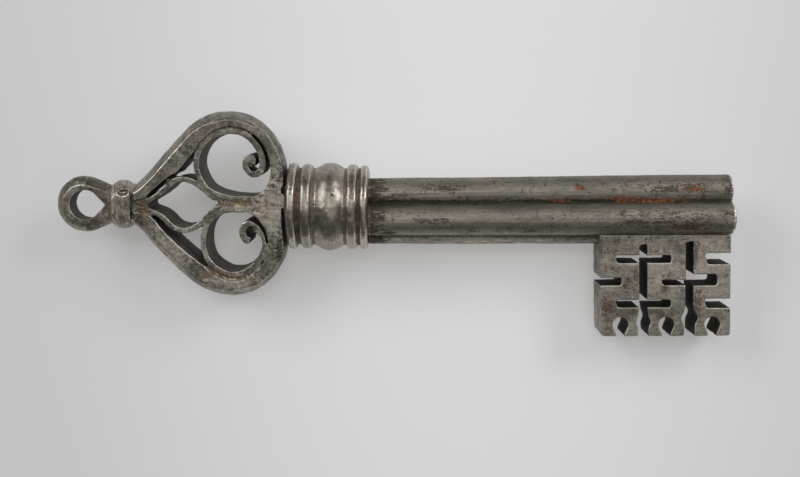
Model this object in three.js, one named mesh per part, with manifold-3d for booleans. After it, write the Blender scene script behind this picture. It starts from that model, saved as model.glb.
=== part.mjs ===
// Key with a scrolled heart bow, a turned collar, a lobed pipe and a pierced bit.
// Millimetres. The key's axis runs along X with the bow at -X, the bit points to -Y and the
// face with the best view of the scrolls points to +Z.
import * as THREE from 'three';
import { mergeVertices } from 'three/addons/utils/BufferGeometryUtils.js';
import Module from 'manifold-3d';

const wasm = await Module();
wasm.setup();

// Clearances
const seam = 0.1;              // between pieces that are brazed or driven together
const brazeThickness = 0.6;    // brass in the bow's joints
const brazeWidth = 0.4;        // brass round the tang's head
const sweep = 200;             // longer than any piece, for cutting tools

// Collar: its bow-side face is the datum for all places along X
const collarLength = 17.65;
const collarRadius = 9.65;
const grooveRadius = 8.4;
const collarBoreClearance = 0.2;
const ringSoftness = 2.4;      // higher makes the rings' crests flatter
// Start and length in hundredths of the collar's length, height as a share of the bead's
const rings = [
  { start: 0, length: 12.7, height: 0.9 },
  { start: 15.9, length: 15.5, height: 0.7 },
  { start: 34.9, length: 35.1, height: 1 },
  { start: 72.3, length: 15.2, height: 0.76 },
  { start: 89.1, length: 10.9, height: 0.66 },
];

// Pipe: four lobes round a bore of the same form, growing a little towards the mouth. It was
// brazed on slightly out of line with the collar.
const pipeLength = 78.9;
const lobeRadius = 3.42;
const lobeDistance = 4.26;
const pipeWall = 1.3;
const pipeFlare = 0.055;
const lobeRoll = THREE.MathUtils.degToRad(19);
const pipeLean = THREE.MathUtils.degToRad(1);
const pipeShift = -0.95;
const pipeGap = 0.25;          // to the collar's face, which the leaning pipe doesn't meet squarely
const pipeReach = lobeRadius + lobeDistance;

// Tang: a flat head brazed into the bow, and a round spigot through the collar into the pipe
const spigotRadius = 2.3;
const spigotReach = 12;        // past the collar, inside the pipe
const headLength = 3.7;
const headWidth = 3;
const headCentre = 1.6;        // the bow sits a little above the key's axis
const neckGap = 0.5;           // from the head to the collar's face
const spigotRoot = 2.4;        // how far the spigot runs back into the head

// Bow
const bowLength = 33.3;
const bowWidth = 41;
const barDepth = 10.4;
const barFace = 2.6;           // flat face of a bow bar
const barBulge = 1.8;          // its rounded outer side stands past the face
const stripDepth = 9.8;
const scrollThickness = 1.3;
const ogeeThickness = 1.2;
const brazeDepth = 9.5;
const bowBase = -3.6;          // in hundredths: the feet end here, with a dark slot to the collar

// Knop and suspension eye
const knopEnd = -bowLength;
const knopLength = 6;
const knopRadius = 5.4;
const knopNeck = 4;
const knopFlat = 4.75;         // axis to the filed flats at the front and back
const knopFacet = 5.1;         // axis to the smaller flats beside them
const dowelRadius = 1.8;
const dowelReach = 2.4;        // past the knop, into the bow
const dowelRoot = 1;           // back inside the eye
const eyeDepth = 5.2;
const eyeRidgeRadius = 4.35;
const eyeBulge = 1.85;
const eyeHoleRadius = 3.25;
const eyeHoleShift = 0.45;     // the eye is thicker at its far end
const eyeHolePoint = 4.5;      // from the hole's centre to its pointed end
const eyeNeckLength = 5.6;
const eyeNeckHalf = 2.9;
const eyeCentre = knopEnd - knopLength - seam - eyeNeckLength;

// Bit: places are measured along the pipe from the bit's bow-side edge and out from its axis
const bitWidth = 28.73;
const bitReach = 27.78;
const bitThickness = 7.8;
const bitSkew = THREE.MathUtils.degToRad(1.5);
const bitCorner = 1.3;
const firstColumn = 4.44;      // slots and edge notches stand in five columns
const lastColumn = 3.97;       // from the bit's mouth-side edge
const columnPitch = (bitWidth - firstColumn - lastColumn) / 4;
const wardWidth = 1.65;
const wideWardWidth = 2.45;
const narrowWardWidth = 1.15;
const firstRow = 2.81;         // from the pipe to the first row of slots
const edgeBand = 7.35;         // from the last row of slots to the bit's edge
const rowPitch = (bitReach - edgeBand - pipeReach - firstRow) / 2;
const lowerWard = bitReach - edgeBand;
const middleWard = lowerWard - rowPitch;
const upperWard = middleWard - rowPitch;
const slotTopA = pipeReach - 0.5;
const slotTopB = pipeReach - 1.05;
const armPastColumn = 0.95;    // a cross slot runs this far past the next column
const bowNotchWeb = 4;         // metal left between the side notches and the long slots
const mouthNotchWeb = 2.6;
const keyholeDepth = 4.3;
const keyholeHalf = 1.7;

// Materials
const iron = () => new THREE.MeshStandardMaterial({ color: 0x77736c, roughness: 0.45, metalness: 0.9 });
const brass = () => new THREE.MeshStandardMaterial({ color: 0xa88a3e, roughness: 0.5, metalness: 0.9 });

// Solids
function toSolid(geometry) {
  const bare = geometry.clone();
  bare.deleteAttribute('normal');
  bare.deleteAttribute('uv');
  const merged = mergeVertices(bare, 1e-4);
  return new wasm.Manifold(new wasm.Mesh({
    numProp: 3,
    vertProperties: new Float32Array(merged.attributes.position.array),
    triVerts: new Uint32Array(merged.index.array),
  }));
}

function toGeometry(solid) {
  const { numProp, vertProperties, triVerts } = solid.getMesh();
  const positions = new Float32Array((vertProperties.length / numProp) * 3);
  for (let i = 0; i < positions.length / 3; i++) {
    for (let k = 0; k < 3; k++) positions[3 * i + k] = vertProperties[numProp * i + k];
  }
  const geometry = new THREE.BufferGeometry();
  geometry.setAttribute('position', new THREE.BufferAttribute(positions, 3));
  geometry.setIndex(new THREE.BufferAttribute(new Uint32Array(triVerts), 1));
  geometry.computeVertexNormals();
  return geometry;
}

// A flat outline in XY, thick along Z about the key's mid plane
function plate(outline, depth) {
  const geometry = new THREE.ExtrudeGeometry(new THREE.Shape(outline), { depth, bevelEnabled: false });
  geometry.translate(0, 0, -depth / 2);
  return toSolid(geometry);
}

function box(x0, x1, y0, y1, depth) {
  const geometry = new THREE.BoxGeometry(x1 - x0, y1 - y0, depth);
  geometry.translate((x0 + x1) / 2, (y0 + y1) / 2, 0);
  return toSolid(geometry);
}

// Round rod along the key's axis
function rod(radius, x0, x1, sides = 40) {
  const geometry = new THREE.CylinderGeometry(radius, radius, x1 - x0, sides);
  geometry.rotateZ(Math.PI / 2);
  geometry.translate((x0 + x1) / 2, 0, 0);
  return toSolid(geometry);
}

// A profile of [radius, place] turned round the key's axis
const latheToKey = new THREE.Matrix4().makeBasis(
  new THREE.Vector3(0, 0, 1), new THREE.Vector3(1, 0, 0), new THREE.Vector3(0, 1, 0));

function turned(profile, sides, firstAngle = 0) {
  const points = profile.map(([radius, x]) => new THREE.Vector2(radius, x));
  const geometry = new THREE.LatheGeometry(points, sides, firstAngle);
  geometry.applyMatrix4(latheToKey);
  return toSolid(geometry);
}

// Smooth line through stations; each station's values after x and y run smoothly too
function stationsAlong(stations, steps) {
  const places = new THREE.CatmullRomCurve3(stations.map(([x, y]) => new THREE.Vector3(x, y, 0)));
  const extras = new THREE.CatmullRomCurve3(stations.map(([, , a, b = 0]) => new THREE.Vector3(a, b, 0)),
    false, 'catmullrom', 0.5);
  const samples = [];
  for (let i = 0; i <= steps; i++) {
    const point = places.getPoint(i / steps);
    const tangent = places.getTangent(i / steps);
    const extra = extras.getPoint(i / steps);
    samples.push({
      x: point.x,
      y: point.y,
      left: new THREE.Vector2(-tangent.y, tangent.x).normalize(),
      first: extra.x,
      second: extra.y,
    });
  }
  return samples;
}

// Flat bar bent on edge: stations are [x, y, thickness]
function strip(stations, depth, grow = 0) {
  const samples = stationsAlong(stations, stations.length * 4);
  for (const [end, way] of [[samples[0], -1], [samples[samples.length - 1], 1]]) {
    end.x += way * grow * end.left.y;
    end.y -= way * grow * end.left.x;
  }
  const side = (sign) => samples.map(({ x, y, left, first }) => {
    const half = first / 2 + grow;
    return new THREE.Vector2(x + sign * half * left.x, y + sign * half * left.y);
  });
  return plate([...side(1), ...side(-1).reverse()], depth);
}

// Bow bar: flat front and back, flat inner side and a rounded outer side.
// Stations are [x, y, face width, bulge] along the inner edge; outer is 1 for the left hand.
function bowBar(stations, depth, outer) {
  const samples = stationsAlong(stations, stations.length * 3);
  const arcSteps = 8;
  const section = ({ x, y, left, first, second }) => {
    const ring = [[0, depth / 2]];
    for (let i = 0; i <= arcSteps; i++) {
      const t = 1 - (2 * i) / arcSteps;
      ring.push([first + second * (1 - t * t), (t * depth) / 2]);
    }
    ring.push([0, -depth / 2]);
    return ring.map(([u, z]) => [x + outer * u * left.x, y + outer * u * left.y, z]);
  };
  return toSolid(skin(samples.map(section), outer < 0));
}

// Closed skin over a row of rings with as many points each, capped by fans at both ends
function skin(ringsOfPoints, flip) {
  const count = ringsOfPoints[0].length;
  const positions = ringsOfPoints.flat(2);
  const index = [];
  const face = (a, b, c) => index.push(...(flip ? [a, c, b] : [a, b, c]));
  for (let r = 0; r + 1 < ringsOfPoints.length; r++) {
    for (let i = 0; i < count; i++) {
      const j = (i + 1) % count;
      const near = r * count;
      const far = near + count;
      face(near + i, far + j, near + j);
      face(near + i, far + i, far + j);
    }
  }
  const last = (ringsOfPoints.length - 1) * count;
  for (let i = 1; i + 1 < count; i++) {
    face(0, i, i + 1);
    face(last, last + i + 1, last + i);
  }
  const geometry = new THREE.BufferGeometry();
  geometry.setAttribute('position', new THREE.Float32BufferAttribute(positions, 3));
  geometry.setIndex(index);
  return geometry;
}

// Suspension eye
function eyeOutline(radius, neckHalf, steps) {
  const neckX = knopEnd - knopLength - seam - eyeCentre;
  const far = Math.hypot(neckX, neckHalf);
  const tangent = Math.atan2(neckHalf, neckX) + Math.acos(Math.min(1, radius / far));
  const points = [];
  for (let i = 0; i <= steps; i++) {
    const angle = tangent + ((2 * Math.PI - 2 * tangent) * i) / steps;
    points.push([eyeCentre + radius * Math.cos(angle), radius * Math.sin(angle)]);
  }
  points.push([eyeCentre + neckX, -neckHalf], [eyeCentre + neckX, neckHalf]);
  return points;
}

function suspensionEye() {
  const levels = 8;
  const neckShare = 0.8;
  const layers = [];
  for (let i = 0; i <= levels; i++) {
    const t = (2 * i) / levels - 1;
    const bulge = eyeBulge * (1 - t * t);
    const outline = eyeOutline(eyeRidgeRadius + bulge, eyeNeckHalf + bulge * neckShare, 36);
    layers.push(outline.map(([x, y]) => [x, y, (t * eyeDepth) / 2]));
  }
  const holeX = eyeCentre + eyeHoleShift;
  const spread = Math.acos(eyeHoleRadius / eyeHolePoint);
  const hole = [new THREE.Vector2(holeX + eyeHolePoint, 0)];
  for (let i = 0; i <= 32; i++) {
    const angle = spread + ((2 * Math.PI - 2 * spread) * i) / 32;
    hole.push(new THREE.Vector2(holeX + eyeHoleRadius * Math.cos(angle), eyeHoleRadius * Math.sin(angle)));
  }
  const dowel = rod(dowelRadius, knopEnd - knopLength - seam - dowelRoot, knopEnd + dowelReach, 28);
  return toSolid(skin(layers, true)).subtract(plate(hole, sweep)).add(dowel);
}

// Knop: a turned bead with six filed flats and a shallow groove on the bow side
function knop() {
  const rise = knopRadius - knopNeck;
  const shape = [
    [0, 0], [0.08, 0.25], [0.2, 0.68], [0.33, 0.93], [0.47, 1], [0.6, 0.95],
    [0.7, 0.75], [0.77, 0.45], [0.81, 0.32], [0.86, 0.42], [0.93, 0.36], [1, 0.1],
  ];
  const profile = shape.map(([along, share]) =>
    [knopNeck + rise * share, knopEnd - knopLength * (1 - along)]);
  let bead = turned([[0, knopEnd - knopLength], ...profile, [0, knopEnd]], 48);
  for (let k = 0; k < 8; k++) {
    const front = k % 4 === 0;
    const side = k % 4 === 2;
    if (side) continue;
    const cutter = new THREE.BoxGeometry(knopLength, sweep, sweep);
    const flat = front ? knopFlat : knopFacet;
    cutter.translate(knopEnd - knopLength / 2, 0, flat + sweep / 2);
    cutter.rotateX((k * Math.PI) / 4);
    bead = bead.subtract(toSolid(cutter));
  }
  return bead.subtract(rod(dowelRadius + seam, -sweep, sweep, 28));
}

// Bow outlines: places in hundredths of the bow's length and width from the collar's face and the
// key's axis, then shares of the piece's sizes
const bowPlace = ([x, y]) => [(x * bowLength) / 100, (y * bowWidth) / 100];

function bowStations(rows, ...sizes) {
  return rows.map((row) => [...bowPlace(row), ...row.slice(2).map((share, i) => share * sizes[i])]);
}

const upperBarLine = bowStations([
  [-103.9, 1.7, 0.7, 1], [-94.6, 2.9, 0.9, 1], [-83.8, 8.8, 1.1, 1], [-71.8, 17.8, 1.25, 1.07],
  [-62.8, 26.3, 1.23, 1.08], [-53.8, 35.7, 1.03, 1.05], [-46, 40.7, 0.7, 1.13], [-36.3, 42.7, 0.58, 0.94],
  [-27, 41.3, 0.58, 0.82], [-18.3, 36.6, 0.63, 0.6], [-12.3, 29.3, 0.66, 0.53],
  [-10.2, 20.7, 0.88, 0.34], [-9.9, 11.2, 0.92, 0.33],
], barFace, barBulge);
const lowerBarLine = bowStations([
  [-103.9, -1.4, 0.7, 1.06], [-93.7, -2.6, 1, 1.06], [-86.9, -6.4, 1.04, 1.06],
  [-80.2, -13, 1.02, 1.11], [-68.4, -22.1, 1.12, 1.11], [-57.6, -29.2, 1.27, 1.11],
  [-49.5, -33.6, 1.28, 1.11], [-42.3, -36.6, 1.14, 1.11], [-35.7, -37.8, 0.98, 1.11],
  [-27.9, -37.1, 0.86, 1.05], [-20.7, -33.9, 0.86, 0.86], [-15, -29, 0.95, 0.57], [-12, -22.4, 1.2, 0.28],
  [-11.7, -15.9, 1.12, 0.22], [-12.6, -8.8, 1.12, 0.22],
], barFace, barBulge);
const upperScrollLine = bowStations([
  [-14.6, 4.8, 1], [-26.7, 4.5, 1], [-40.2, 5.6, 1], [-50.5, 9.1, 0.92], [-55.9, 14.6, 0.92],
  [-58.6, 22.7, 0.96], [-55.6, 31.5, 0.96], [-48.9, 37.1, 0.96], [-42, 39.7, 1], [-35.7, 40.4, 1.05],
  [-30, 39.8, 1.05], [-23.7, 36.7, 1], [-18.3, 31.5, 1], [-15.6, 25.4, 1], [-15.9, 21, 1],
  [-18.6, 18.2, 1], [-22.5, 17.8, 0.96], [-25.5, 19.8, 0.85], [-26.4, 22.9, 0.77], [-25.2, 25.9, 0.77],
  [-23.1, 27, 0.85], [-21.6, 25.6, 0.88], [-21.9, 22.9, 0.85],
], scrollThickness);
const lowerScrollLine = bowStations([
  [-14.6, -0.7, 1], [-26.7, -0.9, 1], [-36.6, -1.1, 1], [-42.9, -2.4, 0.96], [-48.6, -5.6, 0.92],
  [-52.6, -10.2, 0.92], [-54.4, -16.1, 0.96], [-54.1, -22.7, 1], [-51.4, -28.8, 1], [-45.9, -32.9, 1],
  [-39.9, -35.4, 1], [-33.6, -35.9, 1], [-27, -34.4, 1], [-21, -30.7, 1], [-16.5, -25.9, 0.96],
  [-14.4, -21, 0.88], [-14.7, -16.3, 0.88], [-16.8, -12.4, 0.88], [-20.1, -9.4, 0.92], [-24, -8.3, 1],
  [-27.6, -9.8, 1.15], [-29, -13.2, 1.15], [-27.6, -16.3, 1.08], [-24.6, -17.7, 0.92],
  [-22.5, -16.8, 0.85],
], scrollThickness);
const upperOgeeLine = bowStations([
  [-99.4, 1.8, 0.83], [-95.8, 2, 0.96], [-91.9, 2.8, 1.08], [-85, 6, 1], [-79, 9.5, 1],
  [-73.9, 13.2, 1], [-68.2, 14.8, 1], [-62.8, 14, 1], [-57.4, 11.8, 1], [-52.6, 8.4, 0.83],
  [-47.7, 5.1, 0.79], [-42.9, 3.5, 0.5],
], ogeeThickness);
const lowerOgeeLine = bowStations([
  [-99.4, -1.3, 0.83], [-95.8, -1.5, 0.92], [-91.9, -1.8, 1], [-86.8, -3.2, 1], [-82.9, -4.5, 1],
  [-79.6, -6.6, 1], [-76.6, -9.3, 1], [-73, -11.3, 1], [-68.5, -12.3, 1], [-63.7, -12.1, 1],
  [-59.5, -10.6, 1], [-55.9, -8.3, 0.92], [-51.4, -3.8, 0.83], [-47.1, -0.7, 0.83], [-42.9, 0.9, 0.5],
], ogeeThickness);
// Brass along the outside of the lower scroll, where it touches its bar
const scrollBrazeLine = bowStations([
  [-52.3, -32, 0.42], [-47.4, -34.9, 1], [-40.5, -37.6, 1], [-33.6, -38.2, 1],
  [-27, -36.8, 1], [-21.6, -33.9, 0.42],
], brazeThickness);

const knopSide = box(-sweep, knopEnd + seam, -sweep, sweep, sweep);
const dowelCut = rod(dowelRadius + seam, -sweep, knopEnd + dowelReach + seam, 28);

const upperScroll = (grow = 0, depth = stripDepth) => strip(upperScrollLine, depth, grow);
const lowerScroll = (grow = 0, depth = stripDepth) => strip(lowerScrollLine, depth, grow);
const upperOgee = (grow = 0, depth = stripDepth) => strip(upperOgeeLine, depth, grow);
const lowerOgee = (grow = 0, depth = stripDepth) => strip(lowerOgeeLine, depth, grow);
const scrollBraze = (grow = 0, depth = brazeDepth) => strip(scrollBrazeLine, depth, grow);

const ogee = (line, scroll) => line
  .subtract(scroll(seam, sweep))
  .subtract(dowelCut)
  .subtract(knopSide);

// Foot: where a bar's end is turned in and flared against the stem and the tang. The first three
// places make its hollow curve, the others its corners.
function foot(...places) {
  const [from, control, to, ...corners] = places.map((place) => new THREE.Vector2(...bowPlace(place)));
  const curve = new THREE.QuadraticBezierCurve(from, control, to);
  return plate([...curve.getPoints(10), ...corners], barDepth);
}

// The tang's head, moved out by grow
function tangHead(grow, depth, x1 = -neckGap) {
  return box(-neckGap - headLength - grow, x1, headCentre - headWidth / 2 - grow,
    headCentre + headWidth / 2 + grow, depth);
}

const spigotCut = () => rod(spigotRadius + seam, -neckGap - spigotRoot - seam, sweep);
const tangCut = () => tangHead(brazeWidth + 2 * seam, sweep, sweep).add(spigotCut());

function barUpper() {
  const flare = foot([-24, 5.9], [-11.7, 7.1], [-10.2, 19.5], [bowBase, 13.2], [bowBase, 4.9], [-24, 4.9]);
  return bowBar(upperBarLine, barDepth, 1)
    .add(flare)
    .subtract(upperScroll(seam, sweep))
    .subtract(upperOgee(seam, sweep))
    .subtract(tangCut())
    .subtract(knopSide)
    .subtract(dowelCut);
}

function barLower() {
  const flare = foot(
    [-12, -18.3], [-13.8, -6.3], [-25.8, -2.2], [-25.8, -1], [bowBase, -1], [bowBase, -14.6]);
  return bowBar(lowerBarLine, barDepth, -1)
    .add(flare)
    .subtract(lowerScroll(seam, sweep))
    .subtract(lowerOgee(seam, sweep))
    .subtract(scrollBraze(seam, sweep))
    .subtract(tangCut())
    .subtract(knopSide)
    .subtract(dowelCut);
}

function tang() {
  return tangHead(0, stripDepth).add(rod(spigotRadius, -neckGap - spigotRoot, collarLength + spigotReach));
}

// Collar: rings and bead with soft crests between narrow grooves
function collar() {
  const profile = [];
  for (const { start, length, height } of rings) {
    const steps = height === 1 ? 10 : 6;
    const fullRise = (collarRadius - grooveRadius) * height;
    for (let i = 0; i <= steps; i++) {
      const t = (2 * i) / steps - 1;
      const rise = fullRise * (1 - Math.abs(t) ** ringSoftness) ** (1 / ringSoftness);
      profile.push([grooveRadius + rise, (collarLength * (start + (length * i) / steps)) / 100]);
    }
  }
  const closed = [[0, 0], ...profile, [0, collarLength]];
  return turned(closed, 56).subtract(rod(spigotRadius + collarBoreClearance, -sweep, sweep));
}

// Pipe outline in YZ, moved out by grow; a negative value gives the bore inside a wall
function lobedOutline(grow) {
  const lobes = 4;
  const half = Math.PI / lobes;
  const crossing = (radius) => {
    const offset = lobeDistance * Math.sin(half);
    const valley = lobeDistance * Math.cos(half) + Math.sqrt(radius ** 2 - offset ** 2);
    const y = valley * Math.sin(half);
    return { valley, span: Math.atan2(y, valley * Math.cos(half) - lobeDistance) };
  };
  const { valley, span } = crossing(lobeRadius + Math.max(grow, 0));
  const radius = lobeRadius + grow;
  const points = [];
  for (let k = 0; k < lobes; k++) {
    const axis = lobeRoll + 2 * half * k;
    const steps = 14;
    for (let i = 0; i <= steps; i++) {
      const angle = axis - span + (2 * span * i) / steps;
      points.push(new THREE.Vector2(lobeDistance * Math.cos(axis) + radius * Math.cos(angle),
        lobeDistance * Math.sin(axis) + radius * Math.sin(angle)));
    }
    if (grow < 0) {
      const middle = axis + half;
      const turn = span - half;
      for (let i = 1; i < 6; i++) {
        const angle = middle + Math.PI + turn * (1 - i / 3);
        points.push(new THREE.Vector2(valley * Math.cos(middle) - grow * Math.cos(angle),
          valley * Math.sin(middle) - grow * Math.sin(angle)));
      }
    } else {
      points.pop();
    }
  }
  return points;
}

const extrudeToKey = new THREE.Matrix4().makeBasis(
  new THREE.Vector3(0, 1, 0), new THREE.Vector3(0, 0, 1), new THREE.Vector3(1, 0, 0));

// Prism of a lobed outline from the collar to the mouth, flared towards the mouth
function flaredPrism(outline, holes = [], length = pipeLength) {
  const shape = new THREE.Shape(outline);
  shape.holes = holes.map((points) => new THREE.Path(points));
  const geometry = new THREE.ExtrudeGeometry(shape, { depth: length, bevelEnabled: false });
  geometry.applyMatrix4(extrudeToKey);
  const places = geometry.attributes.position;
  for (let i = 0; i < places.count; i++) {
    const growth = 1 + (pipeFlare * places.getX(i)) / pipeLength;
    places.setXYZ(i, places.getX(i), places.getY(i) * growth, places.getZ(i) * growth);
  }
  return toSolid(geometry);
}

// Puts what was made round the pipe's own axis in line with the pipe
function onPipe(solid) {
  const geometry = toGeometry(solid);
  geometry.rotateZ(pipeLean);
  geometry.translate(collarLength + pipeGap, pipeShift, 0);
  return toSolid(geometry);
}

const pipe = () => onPipe(flaredPrism(lobedOutline(0), [lobedOutline(-pipeWall)]));

// Bit: a plate with ward slots, side notches and keyhole notches cut right through
function bitOutline() {
  const shape = new THREE.Shape();
  shape.moveTo(0, 0);
  shape.lineTo(0, -bitReach + bitCorner);
  shape.quadraticCurveTo(0, -bitReach, bitCorner, -bitReach);
  shape.lineTo(bitWidth - bitCorner / 2, -bitReach);
  shape.quadraticCurveTo(bitWidth, -bitReach, bitWidth, -bitReach + bitCorner / 2);
  shape.lineTo(bitWidth, 0);
  return shape.getPoints(5);
}

// Slot between two points, with ends rounded by a quarter of its width
function slot(x0, y0, x1, y1, width) {
  const along = new THREE.Vector2(x1 - x0, y1 - y0);
  const length = along.length();
  const round = width / 4;
  const shape = new THREE.Shape();
  shape.moveTo(round, -width / 2);
  shape.lineTo(length - round, -width / 2);
  shape.quadraticCurveTo(length, -width / 2, length, -width / 2 + round);
  shape.lineTo(length, width / 2 - round);
  shape.quadraticCurveTo(length, width / 2, length - round, width / 2);
  shape.lineTo(round, width / 2);
  shape.quadraticCurveTo(0, width / 2, 0, width / 2 - round);
  shape.lineTo(0, -width / 2 + round);
  const angle = along.angle();
  const place = (p) => p.rotateAround(new THREE.Vector2(), angle).add(new THREE.Vector2(x0, y0));
  return plate(shape.getPoints(3).slice(0, -1).map(place), sweep);
}

// Opening that swells and narrows: half widths at given distances in from the bit's outer edge
function swelling(centre, halves) {
  const curve = (sign) => new THREE.CatmullRomCurve3(halves.map(([inward, half]) =>
    new THREE.Vector3(centre + sign * half, inward - bitReach, 0))).getPoints(14);
  return plate([...curve(-1), ...curve(1).reverse()].map(({ x, y }) => new THREE.Vector2(x, y)), sweep);
}

const keyholeShape = [[1, 0.2], [0.91, 0.7], [0.6, 1], [0.3, 0.74], [0.07, 0.53], [-0.25, 0.65]];

const keyholeNotch = (centre) => swelling(centre,
  keyholeShape.map(([inward, half]) => [inward * keyholeDepth, half * keyholeHalf]));

function bit() {
  const column = (index) => firstColumn + columnPitch * index;
  const slotA = column(1);
  const slotB = column(3);
  const arm = columnPitch + armPastColumn;
  const past = 2;
  const offset = narrowWardWidth / 4;
  const waveTop = edgeBand - wardWidth / 3;
  const wave = (centre, shape) => swelling(centre,
    shape.map(([inward, half]) => [inward * edgeBand, half * wardWidth]));
  const bowNotchEnd = slotA - wardWidth / 2 - bowNotchWeb;
  const mouthNotchEnd = slotB + wardWidth / 2 + mouthNotchWeb;
  const cuts = [
    slot(slotA, -slotTopA, slotA, -bitReach - past, wardWidth),
    slot(slotB, -slotTopB, slotB, -bitReach - past, wardWidth),
    wave(slotA, [[waveTop / edgeBand, 0.48], [0.64, 0.67], [0.44, 0.92], [0.22, 0.67], [-0.15, 0.8]]),
    wave(slotB, [[waveTop / edgeBand, 0.48], [0.74, 0.73], [0.55, 1.06], [0.31, 0.7], [-0.15, 0.73]]),
    slot(slotA - arm, -upperWard, slotA + arm, -upperWard, wardWidth),
    slot(slotA - arm, -lowerWard, slotA + arm, -lowerWard, wardWidth),
    slot(slotB - arm, -middleWard - offset, slotB, -middleWard - offset, narrowWardWidth),
    slot(slotB, -middleWard + offset, slotB + arm, -middleWard + offset, wideWardWidth),
    slot(-past, -middleWard, bowNotchEnd, -middleWard, wardWidth),
    slot(mouthNotchEnd, -upperWard, bitWidth + past, -upperWard, wideWardWidth),
    slot(mouthNotchEnd, -lowerWard, bitWidth + past, -lowerWard, (wardWidth + wideWardWidth) / 2),
    keyholeNotch(column(0)),
    keyholeNotch(column(2)),
    keyholeNotch(column(4)),
  ];
  const plain = plate(bitOutline(), bitThickness);
  const cut = cuts.reduce((solid, tool) => solid.subtract(tool), plain);
  const geometry = toGeometry(cut);
  geometry.applyMatrix4(new THREE.Matrix4().makeShear(0, 0, -Math.tan(bitSkew), 0, 0, 0));
  geometry.translate(pipeLength - bitWidth, 0, 0);
  return onPipe(toSolid(geometry).subtract(flaredPrism(lobedOutline(seam), [], pipeLength + past)));
}

// Brass run into the joints: in the crotch at the bow's apex, along the stem, beside the tang's
// head and where the lower scroll touches its bar
function brazeApex() {
  const wedge = [[-99.3, 1.5], [-95, 2.4], [-91, 2.4], [-90.4, 1], [-90.8, -1], [-95, -1.8], [-99.3, -1.5]];
  return plate(wedge.map((row) => new THREE.Vector2(...bowPlace(row))), brazeDepth)
    .subtract(upperOgee(seam, sweep))
    .subtract(lowerOgee(seam, sweep))
    .subtract(dowelCut);
}

const stemBrazeLine = bowStations([
  [-41.7, 2.1, 0.5], [-37.8, 2, 1], [-26.7, 1.8, 1.15], [-14.6, 2, 1.2],
], brazeThickness);

function brazeStem() {
  return strip(stemBrazeLine, brazeDepth)
    .subtract(upperScroll(seam, sweep))
    .subtract(lowerScroll(seam, sweep));
}

function brazeTang() {
  return tangHead(brazeWidth + seam, brazeDepth, (bowBase * bowLength) / 100)
    .subtract(tangHead(seam, sweep, sweep))
    .subtract(spigotCut());
}

const brazeScroll = () => scrollBraze().subtract(lowerScroll(seam, sweep));

// Assembly
const key = new THREE.Group();

function add(name, solid, material) {
  const mesh = new THREE.Mesh(toGeometry(solid), material);
  mesh.name = name;
  key.add(mesh);
}

add('suspension_eye', suspensionEye(), iron());
add('knop', knop(), iron());
add('bow_bar_upper', barUpper(), iron());
add('bow_bar_lower', barLower(), iron());
add('ogee_strip_upper', ogee(upperOgee(), upperScroll), iron());
add('ogee_strip_lower', ogee(lowerOgee(), lowerScroll), iron());
add('scroll_upper', upperScroll(), iron());
add('scroll_lower', lowerScroll(), iron());
add('tang', tang(), iron());
add('collar', collar(), iron());
add('pipe', pipe(), iron());
add('bit', bit(), iron());
add('braze_apex', brazeApex(), brass());
add('braze_stem', brazeStem(), brass());
add('braze_tang', brazeTang(), brass());
add('braze_scroll', brazeScroll(), brass());

// The origin is the middle of the underside of the key as it lies with its face up
const bounds = new THREE.Box3().setFromObject(key);
const middle = bounds.getCenter(new THREE.Vector3());
key.position.set(-middle.x, -middle.y, -bounds.min.z);

export default key;
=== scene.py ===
# Looks for the iron key: camera, floor, light, worn iron and brass.
# Lengths are metres in the key's own frame: +X to the pipe's mouth, -Y to the bit's edge, +Z out of
# the bow's face. Outlines, spots and fitted shapes are in mm from the key's axis at mid length.
import math

import bmesh
import bpy
import numpy as np
from mathutils import Matrix, Vector


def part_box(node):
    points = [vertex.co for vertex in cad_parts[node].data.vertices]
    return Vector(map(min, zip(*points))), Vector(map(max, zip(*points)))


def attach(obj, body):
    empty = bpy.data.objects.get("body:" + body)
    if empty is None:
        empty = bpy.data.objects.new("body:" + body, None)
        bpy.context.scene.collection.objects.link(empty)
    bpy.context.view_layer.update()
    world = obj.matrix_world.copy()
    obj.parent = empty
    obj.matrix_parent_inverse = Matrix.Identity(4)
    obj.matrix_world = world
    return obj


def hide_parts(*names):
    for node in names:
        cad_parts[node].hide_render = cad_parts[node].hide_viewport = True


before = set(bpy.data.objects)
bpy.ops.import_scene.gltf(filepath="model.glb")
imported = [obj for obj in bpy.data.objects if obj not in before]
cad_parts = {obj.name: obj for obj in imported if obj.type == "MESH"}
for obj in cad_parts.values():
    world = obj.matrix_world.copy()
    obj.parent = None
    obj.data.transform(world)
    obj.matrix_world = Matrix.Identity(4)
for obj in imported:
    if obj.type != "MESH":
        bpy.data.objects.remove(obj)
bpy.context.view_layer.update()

MM = 0.001

# The key's axis at mid length
COLLAR_TO_MIDDLE = 23.95 * MM               # from the collar's bow-side face
collar_low, collar_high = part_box("collar")
AXIS = (collar_low + collar_high) / 2
AXIS.x = collar_low.x + COLLAR_TO_MIDDLE

# Camera: nearly straight above the key, which lies rolled towards its bit
ROLL = math.radians(7.7)
SLOPE = math.radians(0.67)
DISTANCE = 227.1 * MM
AIM_RIGHT = 0.709 * MM
AIM_UP = -6.914 * MM
SENSOR_WIDTH = 36
LENS_SHARE = 1025 / 800                     # focal length over picture width
NEAREST = 10 * MM

toward = Vector((0, math.sin(ROLL), math.cos(ROLL)))
up = Vector((0, math.cos(ROLL), -math.sin(ROLL)))
right = Vector((1, 0, 0))
image_right = right * math.cos(SLOPE) + up * math.sin(SLOPE)
image_up = up * math.cos(SLOPE) - right * math.sin(SLOPE)
aim = AXIS + right * AIM_RIGHT + up * AIM_UP


def frame_matrix(place, x_axis, y_axis, z_axis):
    matrix = Matrix((x_axis, y_axis, z_axis)).transposed().to_4x4()
    matrix.translation = place
    return matrix


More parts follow.
